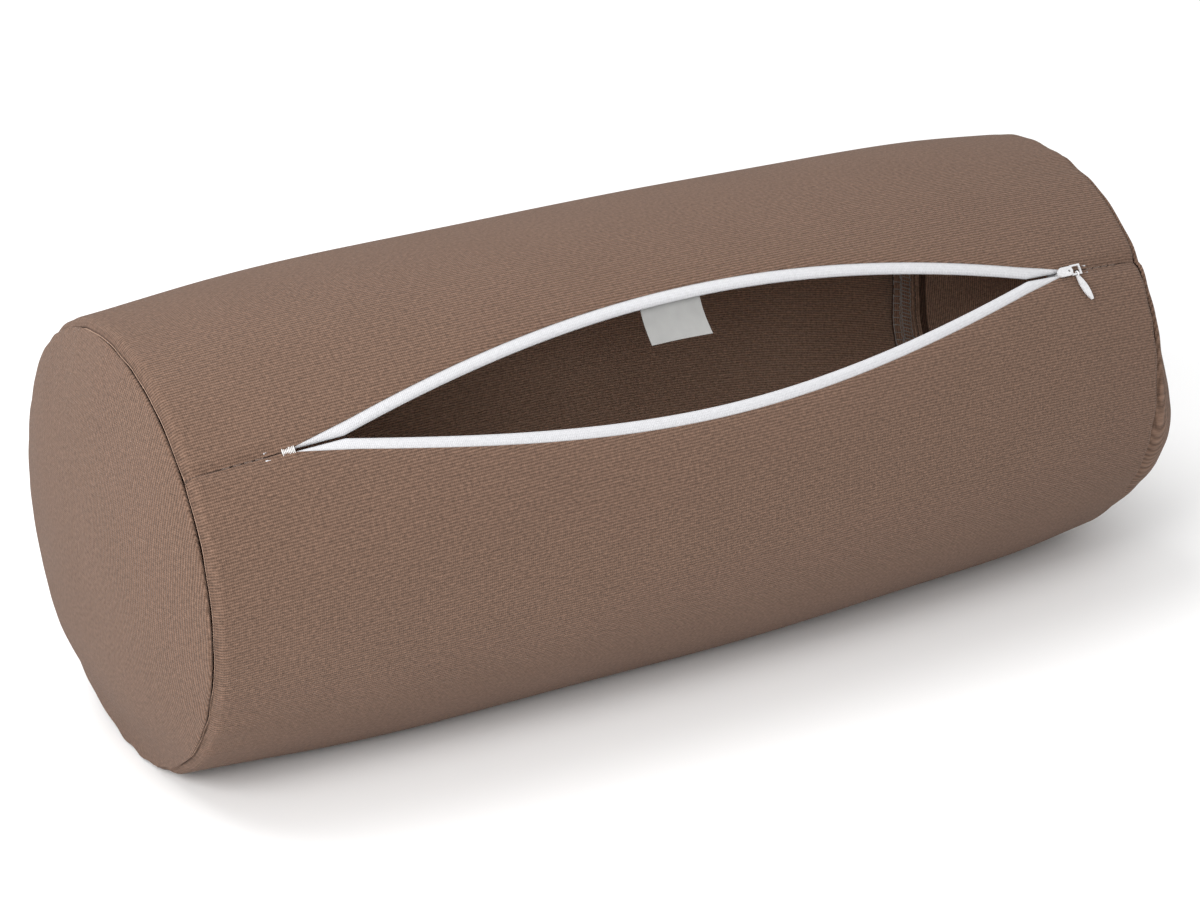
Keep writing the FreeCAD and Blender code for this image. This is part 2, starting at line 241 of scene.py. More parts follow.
@dataclass(frozen=True)
class WovenTape:
    """Close woven white zip tape: fine ribs across it and a slight fuzz."""

    slot: str = "zip_tape"
    colour: Colour = (0.56, 0.56, 0.575)
    rib: float = 0.62 * MM
    cord: float = 0.9 * MM

    def make(self) -> bpy.types.Material:
        """Build the material on the tape's own UV map."""
        bench = NodeBench("white_zip_tape")
        flat = bench.node("TexCoord").outputs["UV"]
        ribs = bench.bands(flat, self.rib, 1.0, "X")
        cords = bench.bands(flat, self.cord, 0.8, "Y")
        weave = bench.math("ADD", ribs, bench.math("MULTIPLY", cords, 0.6))
        fuzz = bench.noise(flat, 1.4 * MM, 3.0)
        tone = bench.ramp(fuzz, shaded(self.colour, 0.93), shaded(self.colour, 1.03))
        # Painted shade: the colour is darker in the troughs of the same weave height that drives the
        # bump.
        painted_weave_shading = bench.ramp(weave, (0.86, 0.86, 0.87), (1.0, 1.0, 1.0), (0.2, 1.0))
        bench.bump(weave, 0.5, 0.12 * MM)
        colour = bench.blend(0.8, tone, painted_weave_shading, "MULTIPLY")
        return bench.dress(colour, Roughness=0.7, Sheen_Weight=0.2, Specular_IOR_Level=0.35)


@dataclass(frozen=True)
class Satin:
    """Off-white satin ribbon with a soft sheen and fine lengthwise floats."""

    slot: str = "label_satin"
    colour: Colour = (0.31, 0.308, 0.30)

    def make(self) -> bpy.types.Material:
        """Build the material on the label's own UV map."""
        bench = NodeBench("label_satin")
        flat = bench.node("TexCoord").outputs["UV"]
        floats = bench.bands(flat, 0.32 * MM, 1.4, "X")
        soft = bench.noise(flat, 5 * MM, 2.0)
        tone = bench.ramp(soft, shaded(self.colour, 0.95), shaded(self.colour, 1.04))
        # Painted shade: the colour is a little darker between the floats, following the same height that
        # drives the bump.
        painted_weave_shading = bench.ramp(floats, (0.93, 0.93, 0.93), (1.0, 1.0, 1.0))
        bench.bump(floats, 0.35, 0.05 * MM)
        colour = bench.blend(0.7, tone, painted_weave_shading, "MULTIPLY")
        return bench.dress(colour, Roughness=0.42, Anisotropic=0.5, Sheen_Weight=0.15,
                           Specular_IOR_Level=0.45)


@dataclass(frozen=True)
class SpunThread:
    """Sewing thread: twisted strands, in the object's own coordinates."""

    slot: str
    colour: Colour
    twist: float = 0.5 * MM

    def make(self) -> bpy.types.Material:
        """Build the material."""
        bench = NodeBench(self.slot)
        place = bench.node("TexCoord").outputs["Object"]
        strands = bench.noise(place, self.twist, 2.0)
        tone = bench.ramp(strands, shaded(self.colour, 0.75), shaded(self.colour, 1.15))
        bench.bump(strands, 0.5, 0.08 * MM)
        return bench.dress(tone, Roughness=0.75, Sheen_Weight=0.3, Specular_IOR_Level=0.3)


@dataclass(frozen=True)
class Moulded:
    """Hard finishes of the zip: nylon coil, enamelled casting and pressed metal."""

    slot: str
    colour: Colour
    roughness: float
    metallic: float = 0.0
    coat: float = 0.0
    grain: float = 0.9 * MM

    def make(self) -> bpy.types.Material:
        """Build the material: slight unevenness of colour, gloss and surface."""
        bench = NodeBench(self.slot)
        place = bench.node("TexCoord").outputs["Object"]
        patches = bench.noise(place, self.grain, 3.0)
        tone = bench.ramp(patches, shaded(self.colour, 0.9), shaded(self.colour, 1.05))
        gloss = bench.math("MULTIPLY_ADD", patches, 0.2)
        gloss.node.inputs[2].default_value = self.roughness - 0.1
        bench.tree.links.new(gloss, bench.shader.inputs["Roughness"])
        bench.bump(patches, 0.2, 0.04 * MM)
        return bench.dress(tone, Metallic=self.metallic, Coat_Weight=self.coat, Coat_Roughness=0.15)


Finish = Twill | WovenTape | Satin | SpunThread | Moulded


@dataclass
class Wardrobe:
    """Every finish of the cover, each built once."""

    fabric: Finish = Twill()
    # The inside finish is the same twill made more than three times lighter: painted light standing in
    # for light that reaches the inside of the cover.
    reverse: Finish = Twill("twill_reverse", colour=(0.52, 0.345, 0.255))
    tape: Finish = WovenTape()
    satin: Finish = Satin()
    coil: Finish = Moulded("zip_coil", (0.58, 0.58, 0.60), 0.4)
    enamel: Finish = Moulded("slider_metal", (0.60, 0.60, 0.61), 0.3, coat=0.5)
    metal: Finish = Moulded("stop_metal", (0.70, 0.70, 0.72), 0.38, metallic=1.0)
    pale: Finish = SpunThread("white_thread", (0.66, 0.65, 0.64))
    taupe: Finish = SpunThread("taupe_thread", (0.16, 0.105, 0.078))
    made: dict[Finish, bpy.types.Material] = field(default_factory=dict)

    def material(self, finish: Finish) -> bpy.types.Material:
        """The material of a finish."""
        if finish not in self.made:
            self.made[finish] = finish.make()
        return self.made[finish]

    def dress(self, piece: bpy.types.Object, *finishes: Finish) -> bpy.types.Object:
        """Give a new piece its finishes, by material number."""
        for finish in finishes:
            piece.data.materials.append(self.material(finish))
        return piece

    def dress_node(self, name: str, finish: Finish) -> None:
        """Give a carried node its finish through its object's material slots."""
        node = bpy.data.objects[frame["nodes"][name].name]
        for place in node.material_slots:
            place.link = "OBJECT"
            place.material = self.material(finish)


# ---------------------------------------------------------------- mesh tools


def mesh_object(name: str, mesh: bpy.types.Mesh) -> bpy.types.Object:
    """Put a mesh in the scene as an object at the origin."""
    piece = bpy.data.objects.new(name, mesh)
    bpy.context.scene.collection.objects.link(piece)
    return piece


def vertex_normals(points: Array, around: bool = False, along: bool = False) -> Array:
    """Smooth unit normals of a grid of points.

    Args:
        points: Grid of shape (columns, rows, 3).
        around: Whether the rows close on themselves.
        along: Whether the columns close on themselves.

    Returns:
        Normals of the same shape, from the column direction crossed with the row direction.
    """
    steps = []
    for axis, closed in ((0, along), (1, around)):
        if closed:
            steps.append(np.roll(points, -1, axis) - np.roll(points, 1, axis))
        else:
            steps.append(np.gradient(points, axis=axis))
    normals = np.cross(steps[0], steps[1])
    return normals / np.maximum(np.linalg.norm(normals, axis=2, keepdims=True), 1e-12)


@dataclass
class Shell:
    """Closed section swept along columns: a sheet of cloth with a real thickness.

    The section's points run round it once, so that row direction x column direction points
    outwards; normals point the other way, into the cloth. walls lists the section edges that are
    cut faces, which get flat shading, and the second set lists those on the back of the cloth, which
    take the second finish: a lighter copy of the twill that paints light onto the inner face.
    """

    points: Array
    uv: Array
    normals: Array
    walls: frozenset[int] = frozenset()
    reverse: frozenset[int] = frozenset()
    looped: bool = False

    def build(self, name: str) -> bpy.types.Object:
        """Make the mesh, with capped ends unless the columns close on themselves."""
        columns, rows, _ = self.points.shape
        wraps = columns if self.looped else columns - 1
        faces, corner_normals, corner_uv = [], [], []
        flat_uv = self.uv.reshape(-1, 2)
        smooth = -self.normals.reshape(-1, 3)
        places = self.points.reshape(-1, 3)
        for c in range(wraps):
            after = (c + 1) % columns
            for r in range(rows):
                nxt = (r + 1) % rows
                face = (c * rows + r, c * rows + nxt, after * rows + nxt, after * rows + r)
                self._add(face, r in self.walls, faces, corner_normals, places, smooth)
        if not self.looped:
            for c, order in ((0, -1), (columns - 1, 1)):
                ring = [c * rows + r for r in range(rows)]
                caps = [(ring[k], ring[k + 1], ring[rows - 2 - k], ring[rows - 1 - k])
                        for k in range(rows // 2 - 1)]
                if rows % 2:
                    caps.append(tuple(ring[rows // 2 - 1: rows // 2 + 2]))
                for cap in caps:
                    self._add(cap[::order], True, faces, corner_normals, places, smooth)
        mesh = bpy.data.meshes.new(name)
        mesh.from_pydata(places.tolist(), [], faces)
        for face in faces:
            corner_uv.extend(flat_uv[list(face)].ravel())
        mesh.uv_layers.new(name="cloth").data.foreach_set("uv", np.array(corner_uv, np.float32))
        mesh.polygons.foreach_set("use_smooth", np.ones(len(faces), bool))
        # Rows on the back of the cloth take material 1, the lighter copy of the twill that paints light
        # onto the inner face.
        back = np.zeros(len(faces), np.int32)
        back[: wraps * rows] = np.tile([r in self.reverse for r in range(rows)], wraps)
        mesh.polygons.foreach_set("material_index", back)
        mesh.normals_split_custom_set(corner_normals)
        return mesh_object(name, mesh)

    @staticmethod
    def _add(face, flat: bool, faces: list, normals: list, places: Array, smooth: Array) -> None:
        """Add a face with its corner normals."""
        faces.append(face)
        if flat:
            a, b, c = (places[i] for i in face[:3])
            across = np.cross(b - a, c - a)
            size = np.linalg.norm(across)
            across = across / size if size > 1e-15 else smooth[face[0]]
            normals.extend([tuple(across)] * len(face))
        else:
            normals.extend(tuple(smooth[i]) for i in face)


def tube(points: Sequence[Sequence[float]], radius: float, sides: int = 6) -> tuple[list, list]:
    """Round thread along a few points, with closed ends.

    Args:
        points: Centre line.
        radius: Radius of the thread.
        sides: Number of sides of its section.

    Returns:
        Vertices and faces.
    """
    line = [Vector(p) for p in points]
    verts, faces = [], []
    for i, here in enumerate(line):
        ahead = (line[min(i + 1, len(line) - 1)] - line[max(i - 1, 0)]).normalized()
        across = ahead.cross(Vector((0, 0, 1))).normalized()
        up = across.cross(ahead)
        for k in range(sides):
            turn = TURN * k / sides
            verts.append(tuple(here + radius * (math.cos(turn) * across + math.sin(turn) * up)))
    for i in range(len(line) - 1):
        for k in range(sides):
            nxt = (k + 1) % sides
            base, top = i * sides, (i + 1) * sides
            faces.append((base + k, base + nxt, top + nxt, top + k))
    faces.append(tuple(range(sides))[::-1])
    faces.append(tuple((len(line) - 1) * sides + k for k in range(sides)))
    return verts, faces


def unit_mesh(name: str, tubes: Sequence[tuple[list, list]]) -> bpy.types.Object:
    """Join tubes into the one unit that a run repeats."""
    verts, faces = [], []
    for part_verts, part_faces in tubes:
        start = len(verts)
        verts += part_verts
        faces += [tuple(i + start for i in face) for face in part_faces]
    mesh = bpy.data.meshes.new(name)
    mesh.from_pydata(verts, [], faces)
    mesh.polygons.foreach_set("use_smooth", np.ones(len(faces), bool))
    work = bmesh.new()
    work.from_mesh(mesh)
    bmesh.ops.recalc_face_normals(work, faces=work.faces)
    work.to_mesh(mesh)
    work.free()
    return mesh_object(name, mesh)


class Repeater:
    """Geometry Nodes tree that repeats a unit along a line, upright on the surface under it."""

    def __init__(self) -> None:
        """Build the tree once, with named inputs."""
        self.tree = bpy.data.node_groups.new("repeat_along_line", "GeometryNodeTree")
        face = self.tree.interface
        face.new_socket("Geometry", in_out="INPUT", socket_type="NodeSocketGeometry")
        self.sockets = {
            title: face.new_socket(title, in_out="INPUT", socket_type=kind).identifier
            for title, kind in (("Unit", "NodeSocketObject"), ("Pitch", "NodeSocketFloat"),
                                ("Unevenness", "NodeSocketFloat"), ("Seed", "NodeSocketInt"),
                                ("Finish", "NodeSocketMaterial"))
        }
        face.new_socket("Geometry", in_out="OUTPUT", socket_type="NodeSocketGeometry")
        self._wire()

    def _wire(self) -> None:
        """Add and link the nodes."""
        nodes, links = self.tree.nodes, self.tree.links
        given, result = nodes.new("NodeGroupInput"), nodes.new("NodeGroupOutput")
        curve = nodes.new("GeometryNodeMeshToCurve")
        spaced = nodes.new("GeometryNodeResampleCurve")
        spaced.mode = "LENGTH"
        outward = nodes.new("GeometryNodeInputNamedAttribute")
        outward.data_type = "FLOAT_VECTOR"
        outward.inputs[0].default_value = "outward"
        upright = nodes.new("FunctionNodeAlignRotationToVector")
        upright.axis = "Z"
        onward = nodes.new("FunctionNodeAlignRotationToVector")
        onward.axis, onward.pivot_axis = "X", "Z"
        spread = nodes.new("FunctionNodeRandomValue")
        low, high = nodes.new("ShaderNodeMath"), nodes.new("ShaderNodeMath")
        low.operation, high.operation = "SUBTRACT", "ADD"
        low.inputs[0].default_value = high.inputs[0].default_value = 1.0
        placed = nodes.new("GeometryNodeInstanceOnPoints")
        unit = nodes.new("GeometryNodeObjectInfo")
        solid = nodes.new("GeometryNodeRealizeInstances")
        finish = nodes.new("GeometryNodeSetMaterial")
        tangent = nodes.new("GeometryNodeInputTangent")
        floats = [socket for socket in spread.inputs if socket.type == "VALUE"]
        for start, end in (
            (given.outputs["Geometry"], curve.inputs["Mesh"]),
            (curve.outputs["Curve"], spaced.inputs["Curve"]),
            (given.outputs["Pitch"], spaced.inputs["Length"]),
            (outward.outputs["Attribute"], upright.inputs["Vector"]),
            (upright.outputs["Rotation"], onward.inputs["Rotation"]),
            (tangent.outputs[0], onward.inputs["Vector"]),
            (given.outputs["Unevenness"], low.inputs[1]),
            (given.outputs["Unevenness"], high.inputs[1]),
            (low.outputs[0], floats[0]),
            (high.outputs[0], floats[1]),
            (given.outputs["Seed"], spread.inputs["Seed"]),
            (given.outputs["Unit"], unit.inputs["Object"]),
            (spaced.outputs["Curve"], placed.inputs["Points"]),
            (unit.outputs["Geometry"], placed.inputs["Instance"]),
            (onward.outputs["Rotation"], placed.inputs["Rotation"]),
            ([s for s in spread.outputs if s.type == "VALUE"][0], placed.inputs["Scale"]),
            (placed.outputs["Instances"], solid.inputs["Geometry"]),
            (solid.outputs["Geometry"], finish.inputs["Geometry"]),
            (given.outputs["Finish"], finish.inputs["Material"]),
            (finish.outputs["Geometry"], result.inputs["Geometry"]),
        ):
            links.new(start, end)

    def run(self, unit: bpy.types.Object, lines: Sequence[tuple[Array, Array, bool]], pitch: float,
            finish: bpy.types.Material, unevenness: float = 0.06) -> bpy.types.Mesh:
        """Repeat a unit along one or more lines.

        Args:
            unit: Object to repeat, along its own X and with its own Z outward.
            lines: Each line's points, the outward direction at each, and whether it is a ring.
            pitch: Distance from one unit to the next.
            finish: Material of the result.
            unevenness: Share by which the size of a unit may differ.

        Returns:
            One plain mesh.
        """
        verts, edges, outward = [], [], []
        for points, normals, ring in lines:
            start, count = len(verts), len(points)
            verts += points.tolist()
            outward += normals.tolist()
            edges += [(start + i, start + i + 1) for i in range(count - 1)]
            if ring:
                edges.append((start + count - 1, start))
        mesh = bpy.data.meshes.new("line")
        mesh.from_pydata(verts, edges, [])
        mesh.attributes.new("outward", "FLOAT_VECTOR", "POINT")
        mesh.attributes["outward"].data.foreach_set("vector", np.array(outward, np.float32).ravel())
        line = mesh_object("line", mesh)
        modifier = line.modifiers.new("repeat", "NODES")
        modifier.node_group = self.tree
        values = {"Unit": unit, "Pitch": pitch, "Unevenness": unevenness, "Seed": 7, "Finish": finish}
        for title, value in values.items():
            modifier[self.sockets[title]] = value
        graph = bpy.context.evaluated_depsgraph_get()
        result = bpy.data.meshes.new_from_object(line.evaluated_get(graph))
        bpy.data.objects.remove(line)
        return result


@dataclass(frozen=True)
class Ripple:
    """Smooth random waves over a surface, with a fixed seed, about -1 to 1."""

    wavelength: float
    seed: int
    count: int = 9

    def __call__(self, u: Array, v: Array) -> Array:
        """Height of the waves at places u, v in metres."""
        rng = np.random.default_rng(self.seed)
        total = 0.0
        for _ in range(self.count):
            direction, phase = rng.uniform(0, TURN, 2)
            length = self.wavelength * rng.uniform(0.7, 1.6)
            along = u * math.cos(direction) + v * math.sin(direction)
            total = total + np.sin(TURN * along / length + phase)
        return total / math.sqrt(self.count) * 0.9


# ---------------------------------------------------------------- shape of the cover


@dataclass(frozen=True)
class CoverShape:
    """Barrel shape of the standing cover and the outline of its mouth.

    A place on it is x, the distance round the girth from the zip line, positive over the top, and
    the depth under the outer surface.
    """

    half_seam: float
    end_radius: float
    mid_growth: float
    end_axis: float
    crown: float
    half_mouth: float
    mid_rise: float = 2 * MM
    swell_power: float = 2.5
    crown_power: float = 2.6
    zip_angle: float = math.radians(141)
    lip_reach: float = 24.5 * MM
    bluntness: float = 0.15
    seam_gap: float = 0.3 * MM
    tape_shows: float = 4.5 * MM
    tape_split: float = 0.9 * MM
    layer_gap: float = 0.15 * MM
    stop_clearance: float = 0.5 * MM

    @classmethod
    def from_frame(cls) -> "CoverShape":
        """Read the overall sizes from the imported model's boxes."""
        panel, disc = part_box("body_panel"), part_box("left_end_disc")
        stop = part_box("upper_top_stop")
        end_radius = disc[1][1]
        return cls(
            half_seam=panel[1][0] + cls.layer_gap,
            end_radius=end_radius,
            mid_growth=panel[1][1] - end_radius,
            end_axis=disc[1][2] - end_radius,
            crown=-CAD_BOX[0][0] - panel[1][0] - cls.layer_gap,
            half_mouth=-stop[0][0] + cls.stop_clearance,
        )

    def swell(self, x: Array) -> Array:
        """0 at the ring seams, 1 at mid-length."""
        return 1 - np.clip(np.abs(x) / self.half_seam, 0, 1) ** self.swell_power

    def radius(self, x: Array) -> Array:
        """Outer radius at x."""
        return self.end_radius + self.mid_growth * self.swell(x)

    def axis_height(self, x: Array) -> Array:
        """Height of the section's centre at x."""
        return self.end_axis + self.mid_rise * self.swell(x)

    def half_gap(self, x: Array) -> Array:
        """Distance round the girth from the zip line to a fabric lip."""
        along = np.clip(1 - np.abs(x) / self.half_mouth, 0, 1)
        bowed = along * (2 - along)
        eased = along * along * (3 - 2 * along)
        share = (1 - self.bluntness) * bowed + self.bluntness * eased
        return np.maximum(self.seam_gap / 2, self.lip_reach * share)

    def tape_edge(self, x: Array) -> Array:
        """Distance round the girth from the zip line to a tape's free edge."""
        return np.maximum(self.tape_split, self.half_gap(x) - self.tape_shows)

    def girth(self, x: Array) -> Array:
        """Whole way round at x."""
        return TURN * self.radius(x)

    def at(self, x: Array, v: Array, depth: Array) -> Array:
        """Points at x, v round the girth and a depth, pressed flat where they meet the ground."""
        x, v, depth = np.broadcast_arrays(x, v, depth)
        angle = self.zip_angle - v / self.radius(x)
        r = self.radius(x) - depth
        z = np.maximum(self.axis_height(x) + r * np.sin(angle), depth)
        return np.stack([x, r * np.cos(angle), z], axis=-1)

    def outward(self, x: Array, v: Array) -> Array:
        """Unit directions away from the axis."""
        x, v = np.broadcast_arrays(x, v)
        angle = self.zip_angle - v / self.radius(x)
        return np.stack([np.zeros_like(x), np.cos(angle), np.sin(angle)], axis=-1)


@dataclass
class Drape:
    """How the limp cloth departs from the plain barrel: puckers, shallow waves and rolled edges."""

    shape: CoverShape
    groove: float = 3.2 * MM
    shoulder: float = 3.4 * MM
    pucker: float = 0.4 * MM
    sag: float = 2.6 * MM
    dip: float = 1.5 * MM
    dip_place: float = 22 * MM
    dip_reach: float = 62 * MM
    held_near: float = 20 * MM
    held_reach: float = 70 * MM
    belly: float = 1.8 * MM
    pucker_reach: float = 8 * MM
    wave: float = 0.75 * MM
    lip_roll: float = 0.55 * MM
    lip_reach: float = 2.2 * MM
    calm_ends: float = 40 * MM
    calm_lips: float = 60 * MM
    least_at_lips: float = 0.25
    pucker_stretch: float = 0.25
    wave_stretch: float = 0.6
    belly_angle: float = math.radians(212)
    closed_reach: float = 6 * MM
    closed_extra: float = 1.8
    puckers: Ripple = Ripple(13 * MM, 11)
    waves: Ripple = Ripple(95 * MM, 5)

    def seam_groove(self, x: Array) -> Array:
        """Depth of the groove at the ring seam."""
        near = np.clip((self.shape.half_seam - np.abs(x)) / self.shoulder, 0, 1)
        return self.groove * (1 - near) ** 2.3

    def relief(self, x: Array, v: Array) -> Array:
        """Depth that the whole thickness of the cloth lies under the plain barrel."""
        from_seam = self.shape.half_seam - np.abs(x)
        gathered = self.pucker * np.exp(-from_seam / self.pucker_reach)
        ends = np.clip(from_seam / self.calm_ends, 0, 1)
        lips = np.clip(np.abs(v) / self.calm_lips, self.least_at_lips, 1)
        small = gathered * self.puckers(self.pucker_stretch * x, v)
        broad = self.wave * ends * lips * self.waves(self.wave_stretch * x, v)
        return small + broad + self.slump(x, v)

    def slump(self, x: Array, v: Array) -> Array:
        """Slack that has sunk from the top of the middle to the front, low down."""
        angle = self.shape.zip_angle - v / self.shape.radius(x)
        held = np.clip((np.abs(v) - self.held_near) / self.held_reach, 0, 1)
        top = np.clip(np.sin(angle), 0, 1) ** 2 * held * held * (3 - 2 * held)
        front = np.clip(np.cos(angle - self.belly_angle), 0, 1) ** 4
        dip = self.dip * np.exp(-(((x - self.dip_place) / self.dip_reach) ** 2))
        return self.shape.swell(x) * (self.sag * top - self.belly * front) + dip * top

    def roll(self, x: Array, from_lip: Array) -> Array:
        """Extra depth of the outer face where the cloth is folded in along the zip."""
        closed = np.clip((np.abs(x) - self.shape.half_mouth) / self.closed_reach, 0, 1)
        deep = self.lip_roll * (1 + self.closed_extra * closed)
        return deep * (1 - np.clip(from_lip / self.lip_reach, 0, 1)) ** 2


# ---------------------------------------------------------------- fabric


@dataclass
class FabricCover:
    """The rolled body panel and the two domed ends, in twill."""

    shape: CoverShape
    drape: Drape
    wardrobe: Wardrobe
    cloth: float = 1.0 * MM
    column_step: float = 2.0 * MM
    row_step: float = 2.6 * MM
    lip_steps: int = 3
    lap: float = 1.0 * MM
    blend_reach: float = 0.199
    sectors: int = 256
    margin: float = 12 * MM
    gather: float = 1.0 * MM
    seam_open: float = 0.35 * MM
    rim_rows: int = 8
    gather_place: float = math.radians(58)
    gather_spread: float = 0.12
    gather_count: int = 26
    crease: float = 0.6 * MM
    crease_wave: float = 60 * MM
    crease_seed: int = 50
    rim_reach: float = 6 * MM
    outer_columns: int = 15
    rim_columns: int = 11
    lap_reach: float = 6 * MM
    ground_share: float = 0.8
    inner_groove: float = 0.75
    inner_draw: float = 0.6
    dome_share: float = 0.93
    dome_rows: int = 34
    edge_rows: int = 12
    edge_power: float = 2.2
    edge_sunk: float = 0.5
    disc_floor: float = 0.2 * MM
    full_height: float = 42 * MM
    full_reach: float = 36 * MM
    full_front: float = 60 * MM
    full_power: float = 9
    full_swell: float = 0.45
    slack_share: float = 0.85
    slack_height: float = 20 * MM
    margin_columns: int = 10
    margin_inset: float = 0.3 * MM
    margin_thick: float = 0.9 * MM
    margin_stand: float = 1.15 * MM
    margin_flare: float = 2.0 * MM
    ruffle_share: float = 0.6
    ruffle_most: float = 1.4
    ruffle: Ripple = Ripple(34 * MM, 23)

    def columns(self) -> Array:
        """Places of the panel's columns, closer together near the ring seams."""
        s = self.shape
        end = s.half_seam - self.seam_open
        middle = np.linspace(0, s.half_mouth, round(s.half_mouth / self.column_step) + 1)
        outer = np.linspace(s.half_mouth, end - self.rim_reach, self.outer_columns)[1:]
        last = np.linspace(end - self.rim_reach, end, self.rim_columns)[1:]
        half = np.concatenate([middle, outer, last])
        return np.concatenate([-half[:0:-1], half])

    def hinge_angles(self, x: Array) -> tuple[Array, Array]:
        """Angles where the upper and the lower flap leave the still part of the panel."""
        joints = {joint["name"]: joint for joint in frame["record"]["behaviour"]["joints"]}
        _, back, height = joints["upper_lip_close"]["pos_m"]
        front = joints["lower_lip_close"]["pos_m"][1]
        s = self.shape
        upper = np.arctan2(height - s.axis_height(x), back)
        lower = -math.pi + np.arccos(-front / s.radius(x))
        return upper, lower

    def panel(self) -> list[bpy.types.Object]:
        """Build the panel as one continuous cloth and part it where the lips start to move.

        Returns:
            The still back and the four halves of the lips.
        """
        s, x = self.shape, self.columns()
        radius, gap = s.radius(x), s.half_gap(x)
        upper, lower = self.hinge_angles(x)
        lap = self.lap * np.clip(gap / self.lap_reach, 0, 1)
        start = gap - lap + self.cloth / 4
        stations = [start, radius * (s.zip_angle - upper), radius * (s.zip_angle - lower),
                    s.girth(x) - start]
        counts = [round(float(np.max(b - a)) / self.row_step) for a, b in zip(stations, stations[1:])]
        parts = []
        for a, b, count in zip(stations, stations[1:], counts):
            share = np.linspace(0, 1, count + 1)[None, :]
            parts.append((a[:, None] * (1 - share) + b[:, None] * share)[:, 1 if parts else 0:])
        v = np.concatenate(parts, axis=1)
        return self._flaps(x, v, counts)

    def _flaps(self, x: Array, v: Array, counts: list[int]) -> list[bpy.types.Object]:
        """Cut the continuous panel into its still part and the two halves of each flap.

        Args:
            x: Places of the columns.
            v: Distance round the girth of each row, at each column.
            counts: Number of rows in the upper flap, the back and the lower flap.

        Returns:
            The five finished pieces.
        """
        ring_v, depth, uv_v = self._section(x, v)
        wide = np.broadcast_to(x[:, None], ring_v.shape)
        points = self.shape.at(wide, ring_v, depth)
        rows, middle = v.shape[1], len(x) // 2
        lowest = np.zeros(ring_v.shape[1])
        lowest[rows + self.lip_steps: 2 * rows + self.lip_steps] = self.ground_share * self.cloth
        points[..., 2] = np.maximum(points[..., 2], lowest)
        normals = vertex_normals(points, around=True)
        uv = np.stack([wide, uv_v], axis=-1)
        first, second = counts[0], counts[0] + counts[1]
        lip = self.lip_steps

        def ring(low: int, high: int) -> tuple[list[int], set[int]]:
            """Order of the section's points for outer rows low to high, and its cut edges."""
            outer = list(range(low, high + 1))
            inner = [rows + lip + (rows - 1 - j) for j in reversed(outer)]
            if high == rows - 1:
                outer += [rows + k for k in range(lip)]
                walls = {len(outer) + len(inner) - 1}
            else:
                walls = {len(outer) - 1}
            if low == 0:
                inner += [2 * rows + lip + k for k in range(lip)]
            elif high != rows - 1:
                walls.add(len(outer) + len(inner) - 1)
            return outer + inner, walls

        def piece(name: str, low: int, high: int, cols: slice) -> bpy.types.Object:
            """One part of the panel."""
            order, walls = ring(low, high)
            order, walls = order[::-1], {(len(order) - 2 - w) % len(order) for w in walls}
            inner = range(rows + lip, 2 * rows + lip)
            # Rows of the inner face take the second finish, a lighter copy of the twill: painted light
            # on the inside.
            back = {k for k, place in enumerate(order[:-1]) if place in inner and order[k + 1] in inner}
            shell = Shell(points[cols][:, order], uv[cols][:, order], -normals[cols][:, order],
                          frozenset(walls), frozenset(back))
            made = self.wardrobe.dress(shell.build(name), self.wardrobe.fabric, self.wardrobe.reverse)
            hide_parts("body_panel")
            return made

        still = piece("body_panel_back", first, second, slice(None))
        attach(still, "cover")
        made = [still]
        halves = {End.LEFT: slice(0, middle + 1), End.RIGHT: slice(middle, None)}
        for side, low, high in ((Side.UPPER, 0, first), (Side.LOWER, second, rows - 1)):
            for end, cols in halves.items():
                flap = piece(f"body_panel_{side.title}_{end.title}", low, high, cols)
                self.blend(flap, side, end)
                made.append(flap)
        return made

    def _section(self, x: Array, v: Array) -> tuple[Array, Array, Array]:
        """Closed section at each column: outer face, lower lip, inner face and upper lip.

        Returns:
            Distance round the girth, depth and cloth coordinate of each point of the section.
        """
        d, cols = self.drape, x[:, None]
        girth = self.shape.girth(x)[:, None]
        gap = v[:, :1] - self.cloth / 4
        from_lip = np.minimum(v - gap, girth - gap - v)
        relief = d.relief(cols, np.where(v > girth / 2, v - girth, v))
        groove = d.seam_groove(cols)
        roll = d.roll(cols, from_lip)
        outer = relief + groove + roll
        inner = relief + self.inner_groove * groove + np.maximum(roll - d.lip_roll, 0) + self.cloth
        turns = np.arange(1, self.lip_steps + 1) / (self.lip_steps + 1) * math.pi
        reach = self.cloth / 4

        def lip(row: int, sign: float, order: int) -> tuple[Array, Array]:
            """Rounded edge between the two faces at one end of the section."""
            top, low = outer[:, row, None], inner[:, row, None]
            depth = (top + low) / 2 - order * (low - top) / 2 * np.cos(turns)
            return v[:, row, None] + sign * reach * np.sin(turns)[None, :], depth

        lower_v, lower_depth = lip(-1, 1, 1)
        upper_v, upper_depth = lip(0, -1, -1)
        ring_v = np.concatenate([v, lower_v, v[:, ::-1], upper_v], axis=1)
        depth = np.concatenate([outer, lower_depth, inner[:, ::-1], upper_depth], axis=1)
        centred = np.where(ring_v > girth / 2, ring_v - girth, ring_v)
        return ring_v, depth, centred

    def blend(self, piece: bpy.types.Object, side: Side, end: End) -> None:
        """Bake the transform of a half of a lip into its mesh."""
        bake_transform(piece)

